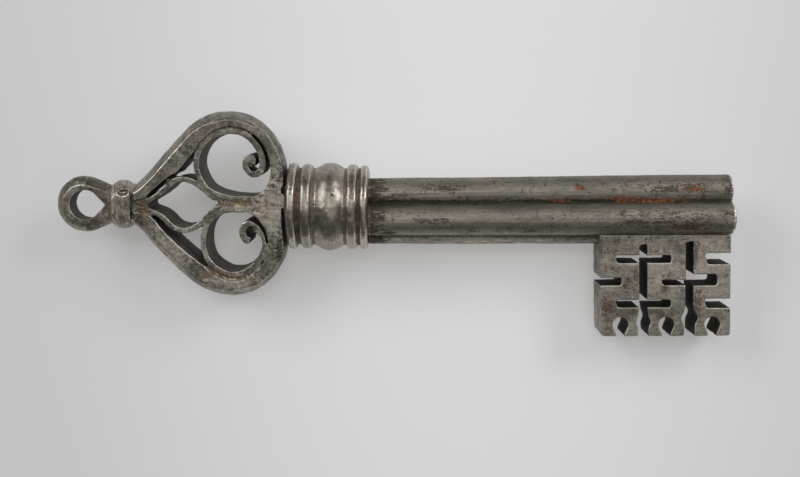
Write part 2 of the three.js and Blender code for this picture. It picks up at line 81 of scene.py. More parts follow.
def in_scene(name, data):
    """A new object, linked to the scene."""
    thing = bpy.data.objects.new(name, data)
    bpy.context.scene.collection.objects.link(thing)
    return thing


lens = bpy.data.cameras.new("camera")
lens.sensor_width = SENSOR_WIDTH
lens.lens = SENSOR_WIDTH * LENS_SHARE
lens.clip_start = NEAREST
camera = in_scene("camera", lens)
camera.matrix_world = frame_matrix(aim + toward * DISTANCE, image_right, image_up, toward)
bpy.context.scene.camera = camera

# Sockets of a colour mix
MIX_A = 6
MIX_B = 7
MIX_RESULT = 2


class Graph:
    """A node tree, filled node by node."""

    def __init__(self, tree):
        self.tree = tree
        tree.nodes.clear()

    def put(self, kind, settings=(), **sockets):
        node = self.tree.nodes.new(kind)
        for name, value in dict(settings).items():
            setattr(node, name, value)
        for name, value in sockets.items():
            self.set(node.inputs[name.replace("_", " ")], value)
        return node

    def set(self, socket, value):
        if isinstance(value, bpy.types.NodeSocket):
            self.tree.links.new(value, socket)
        else:
            socket.default_value = value

    def put_math(self, kind, operation, values):
        node = self.put(kind, {"operation": operation})
        for socket, value in zip(node.inputs, values):
            self.set(socket, value)
        return node

    def math(self, operation, *values):
        return self.put_math("ShaderNodeMath", operation, values).outputs[0]

    def vector_math(self, operation, *values):
        return self.put_math("ShaderNodeVectorMath", operation, values)

    def chain(self, operation, values):
        """One operation over all the values, from left to right."""
        total = values[0]
        for value in values[1:]:
            total = self.math(operation, total, value)
        return total

    def times(self, *values):
        return self.chain("MULTIPLY", values)

    def largest(self, *values):
        return self.chain("MAXIMUM", values)

    def blend(self, *pairs):
        """The sum of values, each by its weight."""
        return self.chain("ADD", [self.times(value, weight) for value, weight in pairs])

    def step(self, value, low, high):
        """0 below low, 1 above high, smooth between; low may be above high."""
        node = self.put("ShaderNodeMapRange", {"interpolation_type": "SMOOTHSTEP"}, Value=value,
                        From_Min=low, From_Max=high)
        return node.outputs[0]

    def between(self, value, low, high):
        """Takes 0 to 1 to low to high."""
        return self.put("ShaderNodeMapRange", Value=value, To_Min=low, To_Max=high).outputs[0]

    def mix(self, share, a, b):
        node = self.put("ShaderNodeMix", {"data_type": "RGBA"}, Factor=share)
        self.set(node.inputs[MIX_A], a)
        self.set(node.inputs[MIX_B], b)
        return node.outputs[MIX_RESULT]

    def place(self, stretch=(1, 1, 1), turn=(0, 0, 0)):
        source = self.put("ShaderNodeTexCoord").outputs["Object"]
        return self.put("ShaderNodeMapping", Vector=source, Rotation=turn, Scale=stretch).outputs[0]

    def noise(self, vector, size, detail=3.0, rough=0.5):
        """Noise with features of about size metres."""
        node = self.put("ShaderNodeTexNoise", Vector=vector, Scale=1 / size, Detail=detail,
                        Roughness=rough)
        return node.outputs["Fac"]

    def attribute(self, name):
        return self.put("ShaderNodeAttribute", {"attribute_name": name}).outputs["Fac"]

    def distance_to(self, vector, point, weights=(1, 1, 1)):
        """Distance from a point, with each direction weighed."""
        offset = self.vector_math("SUBTRACT", vector, point).outputs[0]
        weighed = self.vector_math("MULTIPLY", offset, weights).outputs[0]
        return self.vector_math("LENGTH", weighed).outputs["Value"]


def new_material(name):
    """A material and the empty graph to fill."""
    material = bpy.data.materials.new(name)
    material.use_nodes = True
    return material, Graph(material.node_tree)


# Colours, linear
# The next colour is rubbed bare metal, painted bright enough to stand for highlights on worn edges
BRIGHT = (0.90, 0.85, 0.77, 1)
LIGHT_IRON = (0.52, 0.469, 0.405, 1)
DARK_IRON = (0.15, 0.141, 0.116, 1)
# The next two colours are painted shade for inner walls
BLACK = (0.010, 0.009, 0.007, 1)
CAVE_SHADE = (0.030, 0.027, 0.019, 1)
PIT = (0.026, 0.018, 0.012, 1)
# The next two colours are dirt and grime in hollows and stains, and also painted shade at the pipe's
# seam and ends and on the bit's side
DIRT_AND_SHADE = (0.045, 0.033, 0.022, 1)
GRIME_AND_SHADE = (0.013, 0.012, 0.008, 1)
OLIVE = (0.036, 0.032, 0.010, 1)
BROWN = (0.085, 0.050, 0.030, 1)
DARK_RUST = (0.075, 0.034, 0.018, 1)
# The next colour is for lighter patches, and for painted light on the pipe's underside
PALE_IRON = (0.70, 0.64, 0.56, 1)
RUST = (0.33, 0.125, 0.040, 1)
GROOVE_RUST = (0.24, 0.105, 0.042, 1)
COOL_DARK = (0.10, 0.105, 0.105, 1)
BRASS = (0.36, 0.225, 0.070, 1)

# Feature sizes of the iron's marks
CLOUDS = 5 * MM
MOTTLES = 1.1 * MM
SPECKLES = 0.5 * MM
FILE_MARKS = 0.45 * MM
STAINS = 3.0 * MM
PIT_FIELDS = 4.0 * MM
PITS = 0.55 * MM
RUST_FLAKES = 1.1 * MM
TINT_FLAKES = 0.7 * MM
RUBBED_AND_HIGHLIT_GRAIN = 2 * MM
BUMP_HEIGHT = 0.08 * MM
CAVE_REACH = 14 * MM      # inner walls nearer than this to the wall across from them get painted shade

# Where each kind of mark starts and where it is full, on its noise
RAGGED_BAND = (0.38, 0.62)
LIGHT_BAND = (0.40, 0.60)
PIT_FIELD_BAND = (0.36, 0.60)
PIT_BAND = (0.59, 0.66)
SCORE_BAND = (0.62, 0.72)
WORN_AND_HIGHLIT_MOTTLE_BAND = (0.20, 0.52)
RUST_BAND = (0.42, 0.60)
TINT_BAND = (0.42, 0.58)

# The same for shapes: a spot's edge by its radius, an edge's height in mm, openness and steepness
SPOT_BAND = (1.05, 0.55)
EDGE_BAND = (0.008, 0.026)
EDGE_SKY_BAND = (0.2, 0.5)
STEEP_BAND = (0.80, 0.40)
HOLLOW_DEPTH = 0.16
HOLLOW_MOTTLE = -0.10
RUBBED_AND_HIGHLIT_RAGGEDNESS = 0.3

STAIN_BAND = (0.66, 0.76)
STAIN_SPREAD = (0.2, 0.12)
STAIN_SHARE = 0.75
SCORE_SHARE = 0.6
GLOSS_OF_WEAR = -0.20
ROUGHNESS_OF_DIRT = 0.25
BUMP_STRENGTH = 0.5
SPECULAR = 0.4
SKY_RAYS = 8


def patch(graph, spots, grain, raggedness, drawn_out):
    """1 inside any of the spots (centre mm, radius mm, stretch), with ragged edges."""
    where = graph.place()
    ragged_place = graph.place(drawn_out)
    coarse = graph.noise(ragged_place, grain, 5.0, 0.75)
    fine = graph.noise(ragged_place, grain / 3, 3.0, 0.7)
    ragged = graph.step(graph.blend((coarse, 0.55), (fine, 0.45)), *RAGGED_BAND)
    ragged = graph.between(ragged, -raggedness, raggedness)
    shares = []
    for centre, radius, stretch in spots:
        point = AXIS + Vector(centre) * MM
        distance = graph.distance_to(where, point, [1 / s for s in stretch])
        ratio = graph.math("DIVIDE", distance, radius * MM)
        shares.append(graph.step(graph.math("ADD", ratio, ragged), *SPOT_BAND))
    return graph.largest(*shares)


def shade(colour, tone):
    return [channel * tone for channel in colour[:3]] + [1]


def iron(name, grain, turn=(0, 0, 0), drawn_out=(1, 1, 1), tone=1.0, contrast=1.0, rough=(0.36, 0.56),
         brown=0.5, pits=1.0, wear_and_highlight=1.0, worn_and_highlit_at=(), hollows=0.7, hollow_colours=(DIRT_AND_SHADE, BROWN),
         hollow_start=-0.08, cave_shade=0.8, cave_band=(0.96, 0.58), cave_shade_colour=BLACK, patches=()):
    """Filed iron with brown oxide, pits, dirt in its hollows, painted shade on its inner walls, and
    rubbed edges whose wear is painted bright as highlights.

    grain and turn lay the file marks, and drawn_out stretches the mottling. brown, pits, wear,
    hollows and cave shade are how strong those marks are, and wear, with its painted highlight, is full
    on the worn and highlit spots given.
    patches are (spots, grain mm, raggedness, colour, second colour, share, dullness).
    """
    material, g = new_material(name)
    where = g.place()
    lengthwise = g.place(drawn_out)
    cloudy = g.noise(lengthwise, CLOUDS, 4.0, 0.6)
    mottled = g.noise(lengthwise, MOTTLES, 5.0, 0.7)
    speckled = g.noise(where, SPECKLES, 3.0, 0.65)
    streaks = g.noise(g.place(grain, turn), FILE_MARKS, 4.0, 0.65)
    uneven = g.blend((cloudy, 0.3), (mottled, 0.25), (streaks, 0.25), (speckled, 0.2))
    light = g.between(g.step(uneven, *LIGHT_BAND), 0.5 - contrast / 2, 0.5 + contrast / 2)
    colour = g.mix(light, shade(DARK_IRON, tone), shade(LIGHT_IRON, tone))

    stain_band = [edge - spread * brown for edge, spread in zip(STAIN_BAND, STAIN_SPREAD)]
    stained = g.times(g.step(g.noise(where, STAINS, 6.0, 0.7), *stain_band), STAIN_SHARE)
    colour = g.mix(stained, colour, BROWN)

    pit_fields = g.step(g.noise(where, PIT_FIELDS, 2.0, 0.5), *PIT_FIELD_BAND)
    pitted = g.times(g.step(g.noise(where, PITS, 3.0, 0.6), *PIT_BAND), pit_fields, pits)
    scored = g.times(g.step(streaks, *SCORE_BAND), SCORE_SHARE * pits)
    dark = g.largest(pitted, scored)
    colour = g.mix(dark, colour, PIT)

    open_sky = g.put("ShaderNodeAmbientOcclusion", {"samples": SKY_RAYS, "only_local": True},
                     Distance=CAVE_REACH).outputs["AO"]
    flat_normal = g.put("ShaderNodeNewGeometry").outputs["True Normal"]
    facing = g.math("ABSOLUTE", g.put("ShaderNodeSeparateXYZ", Vector=flat_normal).outputs["Z"])
    sunken = g.math("ADD", g.attribute("broad_curve"), g.times(mottled, HOLLOW_MOTTLE))
    hollow = g.times(g.step(sunken, hollow_start, hollow_start - HOLLOW_DEPTH), hollows)
    # Painted shade: steep inner walls that the occlusion test finds closed in are darkened towards a
    # near-black colour and made dull
    painted_cave_shade = g.times(g.step(open_sky, *cave_band), g.step(facing, *STEEP_BAND), cave_shade)
    if worn_and_highlit_at:
        wear_and_highlight = g.between(patch(g, worn_and_highlit_at, RUBBED_AND_HIGHLIT_GRAIN, RUBBED_AND_HIGHLIT_RAGGEDNESS, drawn_out), wear_and_highlight, 1.0)
    # Rubbed edges: real wear on the ridges, painted bright and glossy as highlights
    rubbed_and_highlit = g.times(g.step(g.attribute("fine_curve"), *EDGE_BAND), wear_and_highlight,
                     g.step(mottled, *WORN_AND_HIGHLIT_MOTTLE_BAND), g.step(open_sky, *EDGE_SKY_BAND))
    rusty = g.step(g.noise(where, RUST_FLAKES, 4.0, 0.7), *RUST_BAND)
    colour = g.mix(hollow, colour, g.mix(rusty, hollow_colours[0], hollow_colours[1]))
    colour = g.mix(rubbed_and_highlit, colour, BRIGHT)

    dull = g.largest(g.times(dark, 0.8), g.times(stained, 0.7), g.times(hollow, 0.9))
    dull = g.times(dull, g.math("SUBTRACT", 1.0, rubbed_and_highlit))
    dull = g.largest(dull, g.times(painted_cave_shade, 0.9))
    for spots, size, raggedness, near_colour, far_colour, share, dullness in patches:
        covered = g.times(patch(g, spots, size * MM, raggedness, drawn_out), share)
        tinted = g.step(g.noise(where, TINT_FLAKES, 4.0, 0.7), *TINT_BAND)
        colour = g.mix(covered, colour, g.mix(tinted, near_colour, far_colour))
        dull = g.largest(dull, g.times(covered, dullness))
    # The painted shade on inner walls is laid over all the marks and patches
    colour = g.mix(painted_cave_shade, colour, cave_shade_colour)

    roughness = g.math("ADD", g.between(mottled, rough[0], rough[1]), g.times(rubbed_and_highlit, GLOSS_OF_WEAR))
    roughness = g.math("ADD", roughness, g.times(dull, ROUGHNESS_OF_DIRT))
    height = g.blend((mottled, 0.4), (streaks, 0.5), (speckled, 0.25), (pitted, -0.8))
    bump = g.put("ShaderNodeBump", Height=height, Strength=BUMP_STRENGTH, Distance=BUMP_HEIGHT)
    shader = g.put("ShaderNodeBsdfPrincipled", Base_Color=colour, Metallic=g.math("SUBTRACT", 1.0, dull),
                   Roughness=roughness, Normal=bump.outputs[0], Specular_IOR_Level=SPECULAR)
    g.put("ShaderNodeOutputMaterial", Surface=shader.outputs[0])
    return material


def after(mesh, kind, **settings):
    """A new mesh: the given one after one modifier."""
    holder = in_scene("holder", mesh)
    modifier = holder.modifiers.new("step", kind)
    for name, value in settings.items():
        setattr(modifier, name, value)
    ready = holder.evaluated_get(bpy.context.evaluated_depsgraph_get())
    result = bpy.data.meshes.new_from_object(ready)
    bpy.data.objects.remove(holder)
    return result


def remeshed(mesh, voxel):
    return after(mesh, "REMESH", mode="VOXEL", voxel_size=voxel * MM, adaptivity=0)


def smoothed(mesh, rounds):
    return after(mesh, "SMOOTH", factor=0.5, iterations=rounds)


def vectors_of(rows, key):
    values = np.empty(len(rows) * 3)
    rows.foreach_get(key, values)
    return values.reshape(-1, 3)


def points_of(mesh):
    return vectors_of(mesh.vertices, "co")


def normals_of(mesh):
    return vectors_of(mesh.vertex_normals, "vector")


def move_points(mesh, points):
    mesh.vertices.foreach_set("co", points.ravel())
    mesh.update()


def grown(mesh, amount):
    move_points(mesh, points_of(mesh) + normals_of(mesh) * amount * MM)
    return mesh


def as_mesh(pile, name):
    mesh = bpy.data.meshes.new(name)
    pile.to_mesh(mesh)
    pile.free()
    return mesh


def joined(meshes):
    pile = bmesh.new()
    for mesh in meshes:
        pile.from_mesh(mesh)
    return as_mesh(pile, "joined")


def prism(outline, low, high):
    """A solid over an outline of (x, y), from low to high in z."""
    following = outline[1:] + outline[:1]
    if sum(a[0] * b[1] - b[0] * a[1] for a, b in zip(outline, following)) < 0:
        outline = outline[::-1]
    pile = bmesh.new()
    rings = [[pile.verts.new(AXIS + Vector((x, y, z)) * MM) for x, y in outline] for z in (low, high)]
    pile.faces.new(rings[0][::-1])
    pile.faces.new(rings[1])
    count = len(outline)
    for k in range(count):
        j = (k + 1) % count
        pile.faces.new((rings[0][k], rings[0][j], rings[1][j], rings[1][k]))
    return as_mesh(pile, "prism")


def cut(mesh, solid):
    """The mesh without the part that lies in a solid."""
    cutter = in_scene("cutter", solid)
    result = after(mesh, "BOOLEAN", operation="DIFFERENCE", solver="EXACT", object=cutter)
    bpy.data.objects.remove(cutter)
    return result


WAVE_COUNT = 14
WAVE_SPREAD = (0.7, 1.5)


def waves(points, size, seed):
    """Smooth unevenness from -1 to 1 with a wavelength of about size metres."""
    state = np.random.RandomState(seed)
    ways = state.normal(size=(WAVE_COUNT, 3))
    ways /= np.linalg.norm(ways, axis=1)[:, None]
    lengths = size * state.uniform(*WAVE_SPREAD, WAVE_COUNT)
    phases = state.uniform(0, 2 * math.pi, WAVE_COUNT)
    angles = points @ (ways / lengths[:, None]).T * 2 * math.pi + phases
    return np.sin(angles).sum(axis=1) / math.sqrt(WAVE_COUNT / 2) / 2


CURVE_ROUNDS = {"fine_curve": 10, "broad_curve": 120}


def note_curves(mesh):
    """Keeps on each point how far, in mm, it stands out of a smoothed copy of the mesh."""
    points = points_of(mesh)
    normals = normals_of(mesh)
    for name, rounds in CURVE_ROUNDS.items():
        softer = smoothed(mesh, rounds)
        curve = ((points - points_of(softer)) * normals).sum(axis=1) / MM
        bpy.data.meshes.remove(softer)
        mesh.attributes.new(name, "FLOAT", "POINT").data.foreach_set("value", curve)


CLOSING = 0.08            # mm that the bow's pieces are grown so that their seams close
SEEDS_APART = 10


def surface(name, nodes, material, voxel, rounds, seed, uneven=((3.0, 0.04), (1.2, 0.02)),
            fit=None, added=(), slits=()):
    """A new piece over one or more nodes.

    The nodes' copies are cut by the slits, remeshed and smoothed at their edges, as the added
    solids are, and joined where they are several. fit reshapes the points in mm from the key's
    axis, and pairs of (wavelength mm, height mm) make the surface uneven.
    """
    parts = [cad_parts[node].data.copy() for node in nodes]
    for slit in slits:
        parts = [cut(part, slit) for part in parts]
    parts = [smoothed(remeshed(part, voxel), rounds) for part in parts + list(added)]
    if len(parts) > 1:
        mesh = joined([grown(part, CLOSING) for part in parts])
        mesh = grown(smoothed(remeshed(mesh, voxel), 1), -CLOSING)
    else:
        mesh = parts[0]
    if fit:
        places = (points_of(mesh) - np.array(AXIS)) / MM
        fit(places)
        move_points(mesh, np.array(AXIS) + places * MM)
    note_curves(mesh)
    points = points_of(mesh)
    rise = sum(waves(points, size * MM, seed * SEEDS_APART + k) * height
               for k, (size, height) in enumerate(uneven))
    move_points(mesh, points + normals_of(mesh) * rise[:, None] * MM)
    mesh.polygons.foreach_set("use_smooth", [True] * len(mesh.polygons))
    mesh.materials.clear()
    mesh.materials.append(material)
    piece = in_scene(name, mesh)
    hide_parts(*nodes)
    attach(piece, "root")


def eased(share):
    share = np.clip(share, 0, 1)
    return share * share * (3 - 2 * share)


# From here to the collar the bow's parts are filed to one face
BASE_START = -33.0
BASE_END = -29.5
BASE_FACE = 5.15
BASE_RIM = 4.1
BASE_RIM_BLEND = 0.3


def file_base(places):
    """Brings the front and back of the bow's base and stem to one flat face."""
    share = eased((places[:, 0] - BASE_START) / (BASE_END - BASE_START))
    height = np.abs(places[:, 2])
    share *= np.clip((height - BASE_RIM) / BASE_RIM_BLEND, 0, 1)
    filed = height + (np.maximum(height, BASE_FACE) - height) * share
    places[:, 2] = np.sign(places[:, 2]) * filed


# Filed plaque on the knop's front and back, with a scalloped hollow at its upper end
PLAQUE = [(-61.1, -2.9), (-57.9, -2.9), (-57.9, 2.5), (-58.2, 3.1), (-60.8, 3.1), (-61.1, 2.5)]
PLAQUE_FACE = 5.15
PLAQUE_ROOT = 3.0
SCALLOP = (-59.5, 2.9)
SCALLOP_HALF = (1.25, 0.75)
SCALLOP_DEPTH = 0.9
SCALLOP_SOFTNESS = 1.6
SCALLOP_BLEND = 1.0


def cut_scallop(places):
    """Hollows the plaque's upper end."""
    offset = (places[:, :2] - SCALLOP) / SCALLOP_HALF
    share = eased(SCALLOP_SOFTNESS * (1 - (offset ** 2).sum(axis=1)))
    share *= np.clip((np.abs(places[:, 2]) - PLAQUE_ROOT) / SCALLOP_BLEND, 0, 1)
    places[:, 2] -= np.sign(places[:, 2]) * share * SCALLOP_DEPTH


BEAD_MIDDLE = -14.7
BEAD_HALF = 2.9
BEAD_RADIUS = 9.65
BEAD_FALL = 1.1


def round_bead(places):
    """Rounds the collar's bead like a barrel."""
    share = (places[:, 0] - BEAD_MIDDLE) / BEAD_HALF
    radius = np.hypot(places[:, 1], places[:, 2])
    limit = np.where(np.abs(share) < 1, BEAD_RADIUS - BEAD_FALL * share ** 2, BEAD_RADIUS * 2)
    places[:, 1:] *= (np.minimum(radius, limit) / radius)[:, None]


PIPE_START = -5.9
PIPE_BLEND = 1.5
PIPE_GAP = 0.3


def close_gap(places):
    """Draws the pipe's end out to the collar's face."""
    share = eased(1 - (places[:, 0] - PIPE_START) / PIPE_BLEND)
    places[:, 0] -= PIPE_GAP * share


# Where the S-curved strips run together into the stem, and the lower scroll's rolled end
STEM_ROOT = [(-39.0, 0.9), (-38.2, 1.7), (-37.0, 1.9), (-37.0, 0.0), (-38.2, 0.0)]
ROLLED_X = -32.75
ROLLED_Y = -7.05
ROLLED_RADIUS = 0.85
ROLLED_SIDES = 16
ROLLED_STEP = 2 * math.pi / ROLLED_SIDES
ROLLED_END = [(ROLLED_X + ROLLED_RADIUS * math.cos(k * ROLLED_STEP),
               ROLLED_Y + ROLLED_RADIUS * math.sin(k * ROLLED_STEP)) for k in range(ROLLED_SIDES)]
STRIP_FACE = 4.85

# Solid places where the bow's pieces run together
APEX = [(-57.5, 2.2), (-56.6, 2.9), (-55.4, 3.4), (-54.7, 2.1), (-54.2, 0.4), (-53.7, -0.6),
        (-53.1, -2.0), (-54.3, -3.1), (-56.0, -2.4), (-57.6, -1.3)]
STEM = [(-37.9, 0.1), (-37.1, 1.4), (-31.9, 1.7), (-29.3, 1.5), (-29.3, -0.4), (-31.9, -0.7),
        (-36.6, -0.6)]
UPPER_CURL = [(-32.1, 11.1), (-31.6, 11.5), (-31.1, 11.0), (-31.0, 10.2), (-31.2, 9.3), (-31.5, 8.7),
              (-31.9, 9.0), (-32.1, 9.7), (-32.2, 10.5)]
UPPER_RIM = [(-33.5, 9.4), (-33.4, 10.2), (-33.0, 11.0), (-32.4, 11.5), (-31.9, 11.3), (-32.5, 10.4),
             (-32.8, 9.3), (-32.6, 8.2), (-33.0, 7.9), (-33.4, 8.5)]
LOWER_BEND = [(-31.8, -3.7), (-31.3, -3.5), (-30.4, -4.2), (-29.5, -5.2), (-29.7, -6.3), (-30.1, -5.9),
              (-30.6, -5.2), (-31.3, -4.5)]
LOWER_HEART = [(-31.9, -4.3), (-31.3, -4.3), (-30.9, -4.9), (-31.2, -5.4), (-31.8, -5.3),
               (-32.1, -4.8)]
HEART_FACE = 3.0          # the lower scroll's middle lies deep

# Slits between the pieces, and the opening at the lower scroll's end
APEX_SLIT = [(-54.5, 2.1), (-53.5, 3.1), (-52.3, 4.1), (-51.3, 5.0), (-49.4, 6.6), (-48.2, 7.3),
             (-48.0, 6.8), (-49.5, 5.9), (-50.6, 4.7), (-51.4, 3.9), (-51.9, 3.3), (-52.8, 2.6),
             (-53.8, 1.9)]
LOWER_SLIT = [(-31.9, -1.8), (-30.6, -2.2), (-29.7, -3.1), (-29.1, -4.1), (-28.6, -5.3), (-28.2, -6.5),
              (-28.1, -7.9), (-28.4, -7.9), (-28.6, -6.7), (-28.9, -5.6), (-29.5, -4.7), (-30.3, -3.8),
              (-31.3, -3.1), (-32.1, -2.8)]
LOWER_END = [(-31.85, -5.8), (-30.6, -5.7), (-30.6, -8.3), (-32.5, -8.4), (-32.0, -7.6),
             (-31.85, -6.8)]
THROUGH = 6.0

# Spots: (place, radius, stretch)
bow_brass = [
    ((-55.7, 0.5, 5.0), 0.9, (1, 1, 2)),
    ((-54.7, -1.6, 5.0), 1.1, (0.8, 1.2, 2)),
    ((-35.0, 0.9, 5.0), 1.7, (2.4, 0.40, 1)),
    ((-28.4, 1.0, 5.0), 1.0, (0.5, 1.5, 1)),
    ((-26.3, 0.6, 5.0), 1.2, (1.8, 0.30, 1)),
    ((-28.8, -1.4, 5.0), 0.8, (1, 1, 1)),
    ((-40.0, -14.6, 5.0), 1.6, (1.8, 0.45, 1)),
    ((-34.8, -15.4, 5.0), 1.6, (2.2, 0.35, 1)),
    ((-47.2, 5.0, 5.0), 0.8, (0.7, 1.2, 1)),
]
bow_dirt = [
    ((-56.5, -3.4, 4.0), 1.4, (1.6, 0.8, 2)),
    ((-25.4, -9.5, 5.0), 1.6, (0.5, 3.0, 2)),
    ((-25.0, 7.5, 5.0), 1.2, (0.6, 2.0, 2)),
]
# Where the upper bar's ridge is rubbed and painted as a full highlight
bow_worn_and_highlit = [
    ((-55.5, 4.0, 5.2), 2.4, (1, 1, 1)),
    ((-53.0, 7.2, 5.2), 2.4, (1, 1, 1)),
    ((-50.5, 10.4, 5.2), 2.4, (1, 1, 1)),
    ((-48.0, 13.4, 5.2), 2.4, (1, 1, 1)),
    ((-33.4, -2.7, 4.9), 0.9, (1, 1, 1)),
]
# Lighter patches on the bow's base, stem and lower bar
bow_lighter = [
    ((-27.5, 0.0, 5.0), 4.5, (0.7, 1.8, 2)),
    ((-33.0, 0.5, 5.0), 3.0, (1.8, 0.5, 2)),
    ((-46.0, -8.5, 5.0), 5.0, (1.4, 1.0, 2)),
    ((-36.0, -16.5, 5.0), 3.0, (2.0, 0.7, 2)),
]
# Where the eye's upper rim is rubbed and painted as a full highlight
eye_worn_and_highlit = [
    ((-69.5, 3.0, 3.0), 2.6, (1, 1, 2)),
    ((-66.0, 4.2, 3.0), 2.4, (1.2, 0.8, 2)),
]
eye_brown = [
    ((-62.6, 0.6, 3.0), 2.4, (0.9, 1.4, 2)),
    ((-64.5, 3.0, 2.0), 2.0, (1.5, 0.8, 2)),
    ((-67.5, -2.3, 3.0), 2.8, (1.4, 0.7, 2)),
]
knop_brown = [
    ((-56.8, 0, 3.5), 1.1, (0.8, 4, 2)),
    ((-62.6, 0, 3.5), 1.1, (0.8, 4, 2)),
]
pipe_rust = [
    ((39.4, 5.4, 4.6), 1.1, (1.3, 0.7, 1.5)),
    ((35.4, 2.5, 4.2), 1.2, (2.0, 0.5, 1)),
    ((49.0, 3.0, 4.2), 2.0, (2.6, 0.5, 1)),
    ((56.0, 2.7, 4.2), 1.8, (3.6, 0.40, 1)),
    ((64.0, 5.2, 5.0), 1.3, (2.0, 0.35, 1)),
]
pipe_brown = [
    ((64.0, 5.6, 5.0), 1.5, (2.2, 0.45, 4)),
    ((66.2, 3.9, 5.0), 1.0, (0.45, 1.3, 4)),
    ((72.0, 4.8, 5.0), 1.6, (0.8, 1.2, 4)),
    ((58.0, 5.2, 5.0), 1.3, (2.6, 0.45, 4)),
    ((10.0, 5.0, 5.0), 1.3, (2.6, 0.60, 4)),
    ((8.0, -2.0, 5.0), 1.3, (2.8, 0.50, 4)),
    ((62.0, -2.6, 5.0), 1.6, (3.6, 0.70, 4)),
    ((51.0, -2.2, 5.0), 1.4, (3.0, 0.60, 4)),
    ((71.0, 0.4, 5.0), 1.2, (1.5, 0.60, 4)),
    ((68.0, -4.6, 5.0), 1.6, (2.8, 0.50, 4)),
]
# These stand well in front of the surface, so that only sparse specks reach it
pipe_specks = [
    ((59.0, -1.6, 12.4), 3.0, (4.5, 0.9, 2)),
    ((60.0, 5.6, 12.2), 3.0, (3.5, 0.8, 2)),
]
pipe_valley = [
    ((6.0, 1.75, 4.2), 0.75, (26, 1, 3)),
    ((40.0, 2.3, 4.2), 0.6, (45, 1, 3)),
]
# Painted shadow in the dark line along the pipe's lower edge, where its front lobe meets the rib
pipe_seam_shadow = [
    ((58.0, -4.9, 3.5), 0.6, (24, 1, 3)),
    ((16.0, -5.6, 3.5), 0.35, (36, 1, 3)),
]
pipe_shaded = [
    ((34.0, 8.4, 3.0), 1.7, (34, 1.0, 2)),
    ((34.0, 0.9, 4.6), 1.0, (60, 1, 3)),
]
# Painted light on the underside of the pipe's lower lobe
pipe_underside_light = [((20.0, -7.2, 2.5), 1.4, (26, 0.9, 2))]
# Grime with painted shade where the pipe meets the collar and the bit
pipe_grime_and_shade = [
    ((-5.8, 0.0, 0.0), 5.0, (0.65, 5, 5)),
    ((-2.6, 1.8, 4.5), 2.4, (2.2, 0.7, 2)),
    ((-2.6, -5.0, 4.0), 1.6, (2.0, 0.6, 2)),
    ((69.0, -5.6, 3.5), 1.4, (2.6, 0.6, 2)),
]
bit_brown = [
    ((46.8, -21.0, 3.9), 1.3, (1, 1.6, 2)),
    ((66.5, -19.5, 3.9), 1.8, (0.8, 1.6, 2)),
    ((65.0, -10.0, 3.9), 1.5, (0.7, 1.6, 2)),
    ((54.0, -14.5, 3.9), 1.3, (1.4, 0.8, 2)),
    ((59.5, -15.5, 3.9), 1.4, (0.7, 1.4, 2)),
    ((64.8, -7.2, 3.9), 1.2, (1.6, 0.7, 2)),
    ((47.6, -12.6, 3.9), 1.3, (1.2, 0.6, 2)),
]
# Lighter patches on the middle and right of the bit's face
bit_lighter = [
    ((68.5, -13.0, 3.9), 7.5, (0.9, 1.5, 2)),
    ((58.0, -12.0, 3.9), 5.0, (1.2, 0.8, 2)),
]
# Darker patches below the pipe and on the bit's lower part
bit_darker = [
    ((46.5, -7.6, 3.9), 3.0, (2.0, 0.6, 2)),
    ((50.0, -22.0, 3.9), 2.6, (2.6, 0.7, 2)),
    ((64.0, -22.5, 3.9), 2.6, (2.6, 0.7, 2)),
]
# Painted shade on the bit's left side face
bit_side_shade = [((44.6, -14.0, 0.0), 2.0, (0.35, 8, 4))]

# Stretch of the file marks and the mottling, and their turn on the bow
ALONG = (0.10, 1, 1)
SHORT_ALONG = (0.3, 1, 1)
AROUND = (1, 0.15, 0.15)
BOW_TURN = (0, 0, math.radians(38))

bow_iron = iron(
    "bow_iron", SHORT_ALONG, turn=BOW_TURN, tone=0.78, contrast=1.15, wear_and_highlight=0.45, worn_and_highlit_at=bow_worn_and_highlit,
    cave_shade_colour=CAVE_SHADE,
    patches=[(bow_lighter, 2.0, 0.6, PALE_IRON, LIGHT_IRON, 0.75, 0.0),
             (bow_dirt, 1.2, 0.8, GRIME_AND_SHADE, DIRT_AND_SHADE, 0.8, 0.9),
             (bow_brass, 0.9, 0.8, BRASS, BROWN, 0.75, 0.2)])
eye_iron = iron(
    "eye_iron", AROUND, tone=0.90, contrast=1.25, rough=(0.34, 0.52), brown=0.6, wear_and_highlight=0.4,
    worn_and_highlit_at=eye_worn_and_highlit, cave_shade=0.9, cave_shade_colour=CAVE_SHADE,
    patches=[(eye_brown, 1.2, 0.7, BROWN, DARK_RUST, 0.6, 0.6)])
knop_iron = iron(
    "knop_iron", AROUND, tone=1.35, contrast=1.2, rough=(0.34, 0.50),
    patches=[(knop_brown, 0.8, 0.5, BROWN, DARK_RUST, 0.75, 0.8)])
collar_iron = iron(
    "collar_iron", AROUND, tone=1.12, contrast=0.55, rough=(0.33, 0.46), brown=0.3, pits=1.2, wear_and_highlight=0.5,
    hollows=0.92, hollow_colours=(GRIME_AND_SHADE, GROOVE_RUST), hollow_start=-0.105, cave_shade=0)
